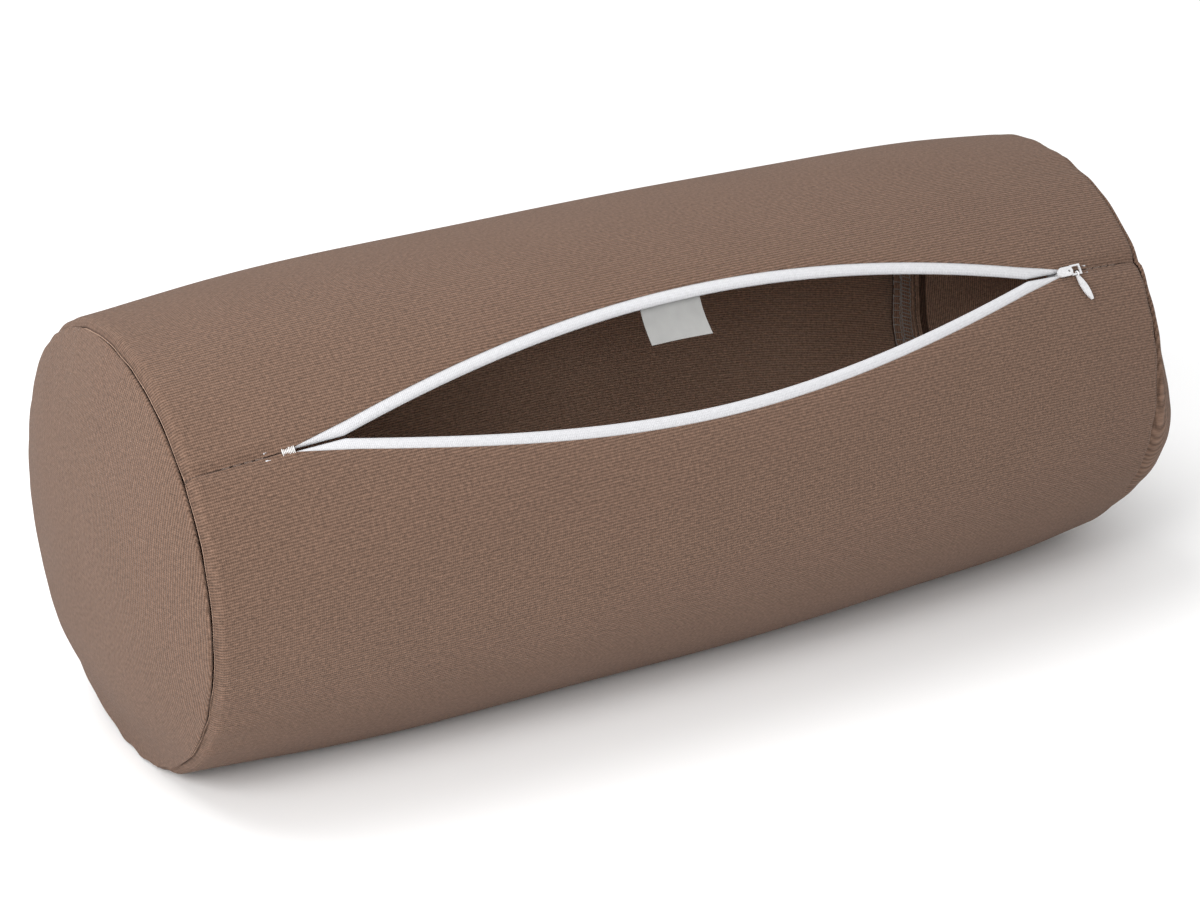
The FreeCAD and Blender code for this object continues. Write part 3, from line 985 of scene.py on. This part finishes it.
    def disc(self, end: End) -> bpy.types.Object:
        """Domed round end, with its edge drawn into the ring seam.

        Args:
            end: Which end of the cover.

        Returns:
            The finished piece.
        """
        s, d = self.shape, self.drape
        middle = np.linspace(0, self.dome_share, self.dome_rows)
        rim_part = np.linspace(self.dome_share, 1.0, self.edge_rows)[1:]
        share = np.concatenate([middle, rim_part])[None, :]
        turn = np.linspace(0, TURN, self.sectors, endpoint=False)[:, None]
        angle = s.zip_angle - turn
        faces = []
        for inset, draw in ((0.0, 1.0), (self.cloth, self.inner_draw)):
            r = (s.end_radius - inset) * share
            edge = np.clip(s.end_radius * (1 - share) / d.shoulder, 0, 1)
            pull = draw * d.groove * (1 - edge) ** self.edge_power
            rim = np.exp(-s.end_radius * (1 - share) / d.pucker_reach)
            across = d.pucker_stretch * s.half_seam * end.value
            sunk = d.pucker * rim * d.puckers(across, turn * s.end_radius)
            height = np.maximum(s.end_axis + (r - pull - sunk) * np.sin(angle), self.disc_floor)
            dome = self._dome(end, share, r * np.cos(angle), height) * (1 - inset / s.crown)
            x = (s.half_seam + self.seam_open + dome - self._creases(end, turn, share)
                 - self.edge_sunk * sunk)
            y = (r - pull - sunk) * np.cos(angle)
            faces.append(np.stack([end.value * x, y, height], axis=-1))
        points = np.concatenate([faces[0], faces[1][:, ::-1]], axis=1)
        return self._close_disc(f"{end.title}_end_disc_cloth", points, end)

    def _dome(self, end: End, share: Array, y: Array, z: Array) -> Array:
        """How far the end swells past the ring seam.

        The left end is slack where it meets the ground, and the right end is full low at the front.
        """
        power = self.shape.crown_power
        if end is End.RIGHT:
            near = np.exp(-(((z - self.full_height) / self.full_reach) ** 2))
            low = near * np.clip(0.5 - y / self.full_front, 0, 1)
            power, full = power + self.full_power * low, 1 + self.full_swell * low
        else:
            full = 1 - self.slack_share * np.exp(-((z / self.slack_height) ** 2))
        return self.shape.crown * full * (1 - share**power)

    def _creases(self, end: End, turn: Array, share: Array) -> Array:
        """Soft creases of the slack end cloth, as depth along x.

        Args:
            end: Which end of the cover.
            turn: Angles round the disc.
            share: Distances from its middle, as a share of its radius.

        Returns:
            Depth at each place.
        """
        soft, radius = Ripple(self.crease_wave, self.crease_seed + end.value), self.shape.end_radius
        angle = self.shape.zip_angle - turn
        clouds = soft(share * radius * np.cos(angle), share * radius * np.sin(angle))
        rim = np.clip(share - 0.5, 0, 1) ** 1.2 * (1 - share) ** 0.6
        gather = np.exp(-(((np.cos(angle - self.gather_place) - 1) / self.gather_spread) ** 2))
        drawn = self.gather * rim * gather * np.cos(self.gather_count * turn)
        return self.crease * clouds * (1 - share**3) + drawn

    def _close_disc(self, name: str, points: Array, end: End) -> bpy.types.Object:
        """Turn the disc's grid into a closed mesh with one vertex at each pole.

        Args:
            name: Name of the piece.
            points: Grid of the outer face and then the inner one.
            end: Which end of the cover.

        Returns:
            The finished piece.
        """
        sectors, rows, _ = points.shape
        faces = []
        for c in range(sectors):
            after = (c + 1) % sectors
            for r in range(rows - 1):
                faces.append((c * rows + r, c * rows + r + 1, after * rows + r + 1, after * rows + r))
        mesh = bpy.data.meshes.new(name)
        mesh.from_pydata(points.reshape(-1, 3).tolist(), [], faces)
        # Rows of the inner dome past the rim take material 1, the lighter twill: painted light on the
        # inside.
        back = [int(r > rows // 2 + self.rim_rows) for r in range(rows - 1)] * sectors
        mesh.polygons.foreach_set("material_index", back)
        work = bmesh.new()
        work.from_mesh(mesh)
        bmesh.ops.remove_doubles(work, verts=work.verts, dist=1e-6)
        bmesh.ops.recalc_face_normals(work, faces=work.faces)
        flat = work.loops.layers.uv.new("cloth")
        for face in work.faces:
            face.smooth = True
            for corner in face.loops:
                corner[flat].uv = (corner.vert.co.z, corner.vert.co.y)
        work.to_mesh(mesh)
        work.free()
        piece = self.wardrobe.dress(mesh_object(name, mesh), self.wardrobe.fabric, self.wardrobe.reverse)
        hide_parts(f"{end.title}_end_disc")
        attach(piece, "cover")
        return piece

    def margin_depth(self, x: Array, v: Array) -> Array:
        """Depth of the outer face of the turned-in margin, which stands away from the wall.

        Args:
            x: Places along the cover.
            v: Distances round the girth from the zip line.

        Returns:
            Depth under the outer surface at each place.
        """
        s = self.shape
        free = np.clip((s.half_seam - np.abs(x)) / self.margin, 0, 1)
        ruffle = self.ruffle(0 * x, v) * self.ruffle_share + self.ruffle_share
        base = self.drape.relief(x, v) + self.inner_groove * self.drape.seam_groove(x)
        flare = self.margin_flare * free**1.5 * np.clip(ruffle, 0, self.ruffle_most)
        return base + self.margin_stand + flare

    def seam_margin(self, end: End) -> bpy.types.Object:
        """Edge of the end disc and of the panel, turned in along the ring seam.

        Args:
            end: Which end of the cover.

        Returns:
            The finished piece.
        """
        s = self.shape
        turns = np.linspace(0, TURN, self.sectors, endpoint=False)
        count = self.margin_columns
        x = end.value * np.linspace(s.half_seam - self.margin, s.half_seam - self.margin_inset, count)
        v = turns[:, None] * s.radius(x)[None, :]
        cols = np.broadcast_to(x[None, :], v.shape)
        outer = self.margin_depth(cols, v)
        depth = np.concatenate([outer, outer[:, ::-1] + self.margin_thick], axis=1)
        ring_x = np.concatenate([cols, cols[:, ::-1]], axis=1)
        ring_v = np.concatenate([v, v[:, ::-1]], axis=1)
        points = s.at(ring_x, ring_v, depth)
        normals = vertex_normals(points, around=True, along=True)
        uv = np.stack([ring_v, ring_x], axis=-1)
        if end is End.LEFT:
            points, normals, uv = points[:, ::-1], -normals[:, ::-1], uv[:, ::-1]
        # The inner face of the margin takes the lighter twill: painted light on the inside.
        back = frozenset(range(count, 2 * count - 1) if end is End.RIGHT else range(1, count))
        piece = Shell(points, uv, normals, reverse=back, looped=True).build(f"{end.title}_seam_margin")
        self.wardrobe.dress(piece, self.wardrobe.fabric, self.wardrobe.reverse)
        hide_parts(f"{end.title}_end_disc")
        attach(piece, "cover")
        return piece

    def build(self) -> list[bpy.types.Object]:
        """Every piece of fabric."""
        pieces = self.panel()
        for end in End:
            pieces += [self.disc(end), self.seam_margin(end)]
        return pieces


# ---------------------------------------------------------------- zip


@dataclass
class Zip:
    """Concealed zip: two folded tapes with their coils, the slider, its pull and the stops."""

    shape: CoverShape
    drape: Drape
    fabric: FabricCover
    wardrobe: Wardrobe
    repeater: Repeater
    overrun: float = 6.5 * MM
    tape: float = 0.5 * MM
    under: float = 8.0 * MM
    coil_radius: float = 0.68 * MM
    coil_pitch: float = 1.15 * MM
    coil_wire: float = 0.3 * MM
    step: float = 1.6 * MM
    tape_wide: float = 14.5 * MM
    coil_inset: float = 0.95 * MM
    coil_depth: float = 2.5 * MM
    coil_steps: int = 14
    coil_flat: float = 0.9

    def stations(self, end: End) -> Array:
        """Places along one half of the zip, from the middle to its end."""
        reach = self.shape.half_mouth + self.overrun
        return end.value * np.linspace(0, reach, round(reach / self.step) + 1)

    def profile(self, x: Array) -> tuple[Array, Array]:
        """Middle line of the tape's section, from its hidden edge to the roll round the coil.

        Returns:
            Distance from the zip line and depth of each point, at each x.
        """
        lip, edge = self.shape.half_gap(x), self.shape.tape_edge(x)
        band = np.maximum(lip - edge, 1.3 * MM)
        offsets = [
            (np.maximum(lip + self.under, edge + 4 * MM), 1.4),
            (np.maximum(lip + 4 * MM, edge + 3 * MM), 1.4),
            (edge + band + 1.2 * MM, 1.4), (edge + band, 1.36), (edge + 0.8 * band, 1.12),
            (edge + 0.6 * band, 0.98), (edge + 0.4 * band, 0.96), (edge + 0.22 * band, 1.06),
            (edge + 0.08 * band, 1.36), (edge - 0.15 * MM, 1.9), (edge - 0.1 * MM, 2.5),
            (edge + 0.35 * MM, 3.15),
        ]
        across = np.stack([offset for offset, _ in offsets], axis=1)
        depth = np.broadcast_to(np.array([d for _, d in offsets]) * MM, across.shape)
        return across, depth

    def lay_tape(self, side: Side, end: End) -> bpy.types.Object:
        """One half of one tape.

        Args:
            side: Upper or lower.
            end: Left or right half.

        Returns:
            The finished piece.
        """
        x = self.stations(end)
        across, depth = self.profile(x)
        line = np.stack([across, depth], axis=-1)
        run = np.gradient(line, axis=1)
        run /= np.linalg.norm(run, axis=2, keepdims=True)
        sideways = np.stack([run[..., 1], -run[..., 0]], axis=-1) * self.tape / 2
        section = np.concatenate([line + sideways, (line - sideways)[:, ::-1]], axis=1)
        cols = np.broadcast_to(x[:, None], section.shape[:2])
        v = side.value * section[..., 0]
        relief = self.drape.relief(cols, v)
        points = self.shape.at(cols, v, section[..., 1] + relief)
        length = np.cumsum(np.linalg.norm(np.diff(line, axis=1, prepend=line[:, :1]), axis=2), axis=1)
        uv = np.stack([cols, np.concatenate([length, length[:, ::-1]], axis=1)], axis=-1)
        if side.value * end.value > 0:
            points, uv = points[:, ::-1], uv[:, ::-1]
        normals = vertex_normals(points, around=True)
        piece = Shell(points, uv, normals).build(f"{side.title}_tape_{end.title}")
        self.wardrobe.dress(piece, self.wardrobe.tape)
        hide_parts(f"{side.title}_zip_tape")
        self.fabric.blend(piece, side, end)
        return piece

    def lay_coil(self, side: Side, end: End, turn: bpy.types.Object) -> bpy.types.Object:
        """One half of one coil, as single turns of nylon.

        Args:
            side: Upper or lower.
            end: Left or right half.
            turn: The unit that is repeated.

        Returns:
            The finished piece.
        """
        x = self.stations(end)
        middle = self.shape.tape_edge(x) + self.coil_inset
        v = side.value * middle
        depth = self.coil_depth + self.drape.relief(x, v)
        line = self.shape.at(x, v, depth)
        mesh = self.repeater.run(turn, [(line, self.shape.outward(x, v), False)], self.coil_pitch,
                                 self.wardrobe.material(self.wardrobe.coil), 0.02)
        piece = mesh_object(f"{side.title}_coil_{end.title}", mesh)
        self.wardrobe.dress(piece, self.wardrobe.coil)
        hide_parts(f"{side.title}_zip_coil")
        self.fabric.blend(piece, side, end)
        return piece

    def coil_turn(self) -> bpy.types.Object:
        """One turn of the nylon coil: a loop across the zip, leaning to the next turn."""
        points = []
        for k in range(self.coil_steps + 1):
            turn = TURN * k / self.coil_steps
            lean = self.coil_pitch * (k / self.coil_steps - 0.5)
            points.append((lean, self.coil_radius * math.cos(turn),
                           self.coil_flat * self.coil_radius * math.sin(turn)))
        return unit_mesh("coil_turn", [tube(points, self.coil_wire, 7)])

    def build(self) -> list[bpy.types.Object]:
        """Tapes and coils, and the finishes of the carried nodes."""
        turn = self.coil_turn()
        pieces = []
        for side in Side:
            for end in End:
                pieces += [self.lay_tape(side, end), self.lay_coil(side, end, turn)]
        bpy.data.objects.remove(turn)
        for name in ("zip_slider", "pull_tab"):
            self.wardrobe.dress_node(name, self.wardrobe.enamel)
        for name in ("upper_top_stop", "lower_top_stop", "bottom_stop"):
            self.wardrobe.dress_node(name, self.wardrobe.metal)
        return pieces


# ---------------------------------------------------------------- sewing


@dataclass
class Sewing:
    """Every run of thread: seams, overlocked edges and corner tacks."""

    shape: CoverShape
    drape: Drape
    fabric: FabricCover
    wardrobe: Wardrobe
    repeater: Repeater
    thread: float = 0.17 * MM
    lock_pitch: float = 2.8 * MM
    ladder_pitch: float = 3.0 * MM
    slant_pitch: float = 1.5 * MM
    bar_pitch: float = 0.5 * MM
    overlock_wide: float = 4.6 * MM
    ring_points: int = 360
    line_step: float = 1.5 * MM
    ring_row: float = 1.4 * MM
    ladder_row: float = 10.2 * MM
    slant_row: float = 5.6 * MM
    tape_row: float = 4.4 * MM
    edge_row: float = 11.5 * MM
    edge_end: float = 13.5 * MM
    closing_end: float = 13 * MM
    tack_place: float = 5.8 * MM
    tack_points: int = 14

    def unit(self, kind: Stitch) -> tuple[bpy.types.Object, float]:
        """The repeating unit of a kind of stitch, and its pitch."""
        t, half = self.thread, self.overlock_wide / 2
        if kind is Stitch.LOCK:
            p = self.lock_pitch / 2
            line = [(-0.9 * p, 0, -t), (-0.7 * p, 0, 0.6 * t), (0, 0, t), (0.7 * p, 0, 0.6 * t),
                    (0.9 * p, 0, -t)]
            return unit_mesh("lock", [tube(line, 1.2 * t)]), self.lock_pitch
        if kind is Stitch.BAR:
            line = [(0, -1.4 * MM, -t), (0, -1.1 * MM, t), (0, 1.1 * MM, t), (0, 1.4 * MM, -t)]
            return unit_mesh("bar", [tube(line, 1.4 * t)]), self.bar_pitch
        pitch = self.ladder_pitch if kind is Stitch.LADDER else self.slant_pitch
        lean = 0.25 * pitch if kind is Stitch.LADDER else 1.1 * pitch
        width = half * (0.62 if kind is Stitch.LADDER else 0.8)
        parts = []
        for sign in (-1, 1):
            y = sign * width
            bow = [(-0.55 * pitch, y, 0), (-0.2 * pitch, y + sign * 0.3 * MM, 1.5 * t),
                   (0.2 * pitch, y + sign * 0.3 * MM, 1.5 * t), (0.55 * pitch, y, 0)]
            parts.append(tube(bow, t))
        rung = [(-lean / 2, -width, t), (0, 0, 1.8 * t), (lean / 2, width, t)]
        parts.append(tube(rung, t))
        return unit_mesh(kind.value, parts), pitch

    def run(self, name: str, kind: Stitch, lines: list, finish: Finish) -> bpy.types.Object:
        """Sew a run of one kind of stitch along lines.

        Args:
            name: Name of the piece.
            kind: Kind of stitch.
            lines: Points, outward directions and whether it is a ring, for each line.
            finish: Finish of the thread.

        Returns:
            The finished piece.
        """
        unit, pitch = self.unit(kind)
        mesh = self.repeater.run(unit, lines, pitch, self.wardrobe.material(finish))
        bpy.data.objects.remove(unit)
        return self.wardrobe.dress(mesh_object(name, mesh), finish)

    def ring(self, end: End, along: float, lift: float) -> tuple[Array, Array, bool]:
        """Line round the bolster on the inner face of the turned-in margin.

        Args:
            end: Which end of the cover.
            along: Distance of the line from mid-length.
            lift: How far it stands off the cloth.

        Returns:
            Points, outward directions, and that it is a ring.
        """
        x = np.full(self.ring_points, end.value * along)
        v = np.linspace(0, 1, self.ring_points, endpoint=False) * self.shape.girth(x)
        depth = self.fabric.margin_depth(x, v) + self.fabric.margin_thick + lift
        return self.shape.at(x, v, depth), -self.shape.outward(x, v), True

    def line(self, side: float, near: Callable, low: float, high: float, depth: float):
        """Line along the zip on the inner face.

        Args:
            side: 1 for the upper side and -1 for the lower.
            near: Distance from the zip line at x.
            low: Where the line starts.
            high: Where it ends.
            depth: Depth under the outer surface.

        Returns:
            Points, outward directions, and that it is no ring.
        """
        x = np.linspace(low, high, max(2, round(abs(high - low) / self.line_step)))
        v = side * near(x)
        deep = depth + self.drape.relief(x, v)
        return self.shape.at(x, v, deep), -self.shape.outward(x, v), False

    def ring_seams(self) -> list[bpy.types.Object]:
        """Lockstitch and overlocking of the two ring seams."""
        pieces = []
        far = self.shape.half_seam
        for end in End:
            stitch = self.run(f"{end.title}_ring_thread", Stitch.LOCK,
                              [self.ring(end, far - self.ring_row, 0.2 * MM)], self.wardrobe.taupe)
            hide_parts(f"{end.title}_ring_stitch")
            ladder = self.run(f"{end.title}_overlock_ladder", Stitch.LADDER,
                              [self.ring(end, far - self.ladder_row, 0.1 * MM)], self.wardrobe.pale)
            slant = self.run(f"{end.title}_overlock_slant", Stitch.SLANT,
                             [self.ring(end, far - self.slant_row, 0.1 * MM)], self.wardrobe.pale)
            for piece in (stitch, ladder, slant):
                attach(piece, "cover")
            for piece in (ladder, slant):
                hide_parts(f"{end.title}_ring_overlock")
            pieces += [stitch, ladder, slant]
        return pieces

    def lip_seams(self) -> list[bpy.types.Object]:
        """Stitching of each tape and overlocking of the panel's edge beside it."""
        s, pieces = self.shape, []
        for side in Side:
            for end in End:
                reach = end.value * (s.half_mouth + 6 * MM)
                sewn = self.line(side.value, lambda x: s.half_gap(x) + self.tape_row, 0, reach,
                                 1.9 * MM)
                row = self.run(f"{side.title}_tape_thread_{end.title}", Stitch.LOCK, [sewn],
                               self.wardrobe.taupe)
                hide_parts(f"{side.title}_tape_stitch")
                far = end.value * (s.half_seam - self.edge_end)
                edge = self.line(side.value, lambda x: s.half_gap(x) + self.edge_row, 0, far,
                                 1.2 * MM)
                over = self.run(f"{side.title}_overlock_{end.title}", Stitch.SLANT, [edge],
                                self.wardrobe.pale)
                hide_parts(f"{side.title}_edge_overlock")
                for piece in (row, over):
                    self.fabric.blend(piece, side, end)
                    pieces.append(piece)
        return pieces

    def closed_seams(self) -> list[bpy.types.Object]:
        """Short seams past the mouth's corners and the tacks that lock the corners."""
        s, pieces = self.shape, []
        for end in End:
            low = end.value * (s.half_mouth + 8 * MM)
            high = end.value * (s.half_seam - self.closing_end)
            sewn = self.line(1, lambda x: 0 * x, low, high, 1.25 * MM)
            seam = self.run(f"{end.title}_closing_thread", Stitch.LOCK, [sewn], self.wardrobe.taupe)
            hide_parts(f"{end.title}_closing_stitch")
            v = np.linspace(-3 * MM, 3 * MM, self.tack_points)
            x = np.full_like(v, end.value * (s.half_mouth + self.tack_place))
            inside = (s.at(x, v, 3.5 * MM + 0 * v), -s.outward(x, v), False)
            tack = self.run(f"{end.title}_corner_tack", Stitch.BAR, [inside], self.wardrobe.taupe)
            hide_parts(f"{end.title}_bartack")
            for piece in (seam, tack):
                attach(piece, "cover")
                pieces.append(piece)
        start = End.LEFT.value * s.half_mouth
        over = self.line(1, lambda x: 0 * x, start - 0.6 * MM, start + 3.2 * MM, 0.75 * MM)
        over = (over[0], -over[1], False)
        tack = self.run("left_outer_tack", Stitch.BAR, [over], self.wardrobe.pale)
        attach(tack, "cover")
        return [*pieces, tack]

    def build(self) -> list[bpy.types.Object]:
        """Every run of thread."""
        return self.ring_seams() + self.lip_seams() + self.closed_seams()


# ---------------------------------------------------------------- label


@dataclass
class Label:
    """Blank satin label, sewn in under the upper tape and hanging into the mouth."""

    wardrobe: Wardrobe
    thick: float = 0.3 * MM
    curl: float = 0.9 * MM
    bow: float = 0.5 * MM
    columns: int = 24
    rows: int = 18

    def build(self) -> list[bpy.types.Object]:
        """The label as one thin sheet with a soft bow and a curled lower corner."""
        low, high = (np.array(corner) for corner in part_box("label"))
        x = np.linspace(low[0], high[0], self.columns)[:, None]
        drop = np.linspace(0, 1, self.rows)[None, :]
        across = (x - low[0]) / (high[0] - low[0])
        z = high[2] - drop * (high[2] - low[2]) + 0 * x
        y = high[1] - drop * (high[1] - low[1]) + self.bow * np.sin(math.pi * across) * drop
        y = y + self.curl * np.sin(math.pi * drop) - self.curl * drop**2 * across
        x = x + 0 * drop
        front = np.stack([x, y - self.thick / 2, z], axis=-1)
        rear = np.stack([x, y + self.thick / 2, z], axis=-1)
        points = np.concatenate([front, rear[:, ::-1]], axis=1)
        uv = np.concatenate([np.stack([x, z], -1), np.stack([x, z], -1)[:, ::-1]], axis=1)
        normals = vertex_normals(points, around=True)
        piece = Shell(points, uv, normals).build("blank_label")
        self.wardrobe.dress(piece, self.wardrobe.satin)
        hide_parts("label")
        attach(piece, "label")
        return [piece]


# ---------------------------------------------------------------- studio


@dataclass(frozen=True)
class Lamp:
    """Soft square light: its place, its size in metres and its power in watts."""

    name: str
    place: tuple[float, float, float]
    size: float
    power: float


@dataclass
class Studio:
    """Pale floor, soft light and the camera."""

    azimuth: float = math.radians(-30.92)
    elevation: float = math.radians(23.82)
    distance: float = 1.1
    lens: float = 94.3
    target: tuple[float, float, float] = (-0.0046, 0.0, 0.0668)
    floor_half: float = 6.0
    floor_drop: float = 0.3 * MM
    floor_tones: tuple[float, float] = (0.90, 0.92)
    sky: float = 0.7
    lamps: tuple[Lamp, ...] = (Lamp("key", (-1.15, -0.65, 0.95), 0.7, 15),
                               Lamp("top", (-0.5, 0.5, 1.7), 1.2, 18),
                               Lamp("fill", (-0.6, -1.0, 0.64), 0.4, 3.5))

    def direction(self) -> Vector:
        """Direction from the target to the camera."""
        flat = math.cos(self.elevation)
        return Vector((math.sin(self.azimuth) * flat, -math.cos(self.azimuth) * flat,
                       math.sin(self.elevation)))

    def camera(self) -> None:
        """Place the camera and make it the scene's own."""
        data = bpy.data.cameras.new("camera")
        data.lens, data.sensor_width = self.lens, 36
        data.clip_end = 50
        made = bpy.data.objects.new("camera", data)
        bpy.context.scene.collection.objects.link(made)
        made.location = Vector(self.target) + self.distance * self.direction()
        made.rotation_euler = self.direction().to_track_quat("Z", "Y").to_euler()
        bpy.context.scene.camera = made

    def floor(self) -> None:
        """A plain pale floor."""
        half, z = self.floor_half, -self.floor_drop
        mesh = bpy.data.meshes.new("floor")
        corners = [(-half, -half, z), (half, -half, z), (half, half, z), (-half, half, z)]
        mesh.from_pydata(corners, [], [(0, 1, 2, 3)])
        piece = mesh_object("floor", mesh)
        bench = NodeBench("pale_floor")
        grain = bench.noise(bench.node("TexCoord").outputs["Object"], 0.3)
        dark, light = ((tone,) * 3 for tone in self.floor_tones)
        mesh.materials.append(bench.dress(bench.ramp(grain, dark, light), Roughness=0.9))

    def light(self, lamp: Lamp) -> None:
        """Hang a lamp so that it faces the cover.

        Args:
            lamp: The lamp to place.
        """
        data = bpy.data.lights.new(lamp.name, "AREA")
        data.size, data.energy = lamp.size, lamp.power
        made = bpy.data.objects.new(lamp.name, data)
        bpy.context.scene.collection.objects.link(made)
        made.location = lamp.place
        toward = Vector(lamp.place) - Vector(self.target)
        made.rotation_euler = toward.to_track_quat("Z", "Y").to_euler()

    def build(self) -> None:
        """Set up the whole studio."""
        self.camera()
        self.floor()
        for lamp in self.lamps:
            self.light(lamp)
        world = bpy.data.worlds.new("studio")
        world.use_nodes = True
        world.node_tree.nodes["Background"].inputs[0].default_value = (1, 1, 1, 1)
        world.node_tree.nodes["Background"].inputs[1].default_value = self.sky
        bpy.context.scene.world = world
        bpy.context.scene.view_settings.view_transform = "Standard"


def report(pieces: Sequence[bpy.types.Object]) -> None:
    """Log each piece with its number of faces."""
    for piece in pieces:
        log.info("%s: %d faces", piece.name, len(piece.data.polygons))


def main() -> None:
    """Build the cover, sub-assembly by sub-assembly."""
    shape = CoverShape.from_frame()
    drape = Drape(shape)
    wardrobe = Wardrobe()
    repeater = Repeater()
    fabric = FabricCover(shape, drape, wardrobe)
    for assembly in (fabric, Zip(shape, drape, fabric, wardrobe, repeater),
                     Sewing(shape, drape, fabric, wardrobe, repeater), Label(wardrobe)):
        report(assembly.build())
    Studio().build()


if __name__ == "__main__":
    main()
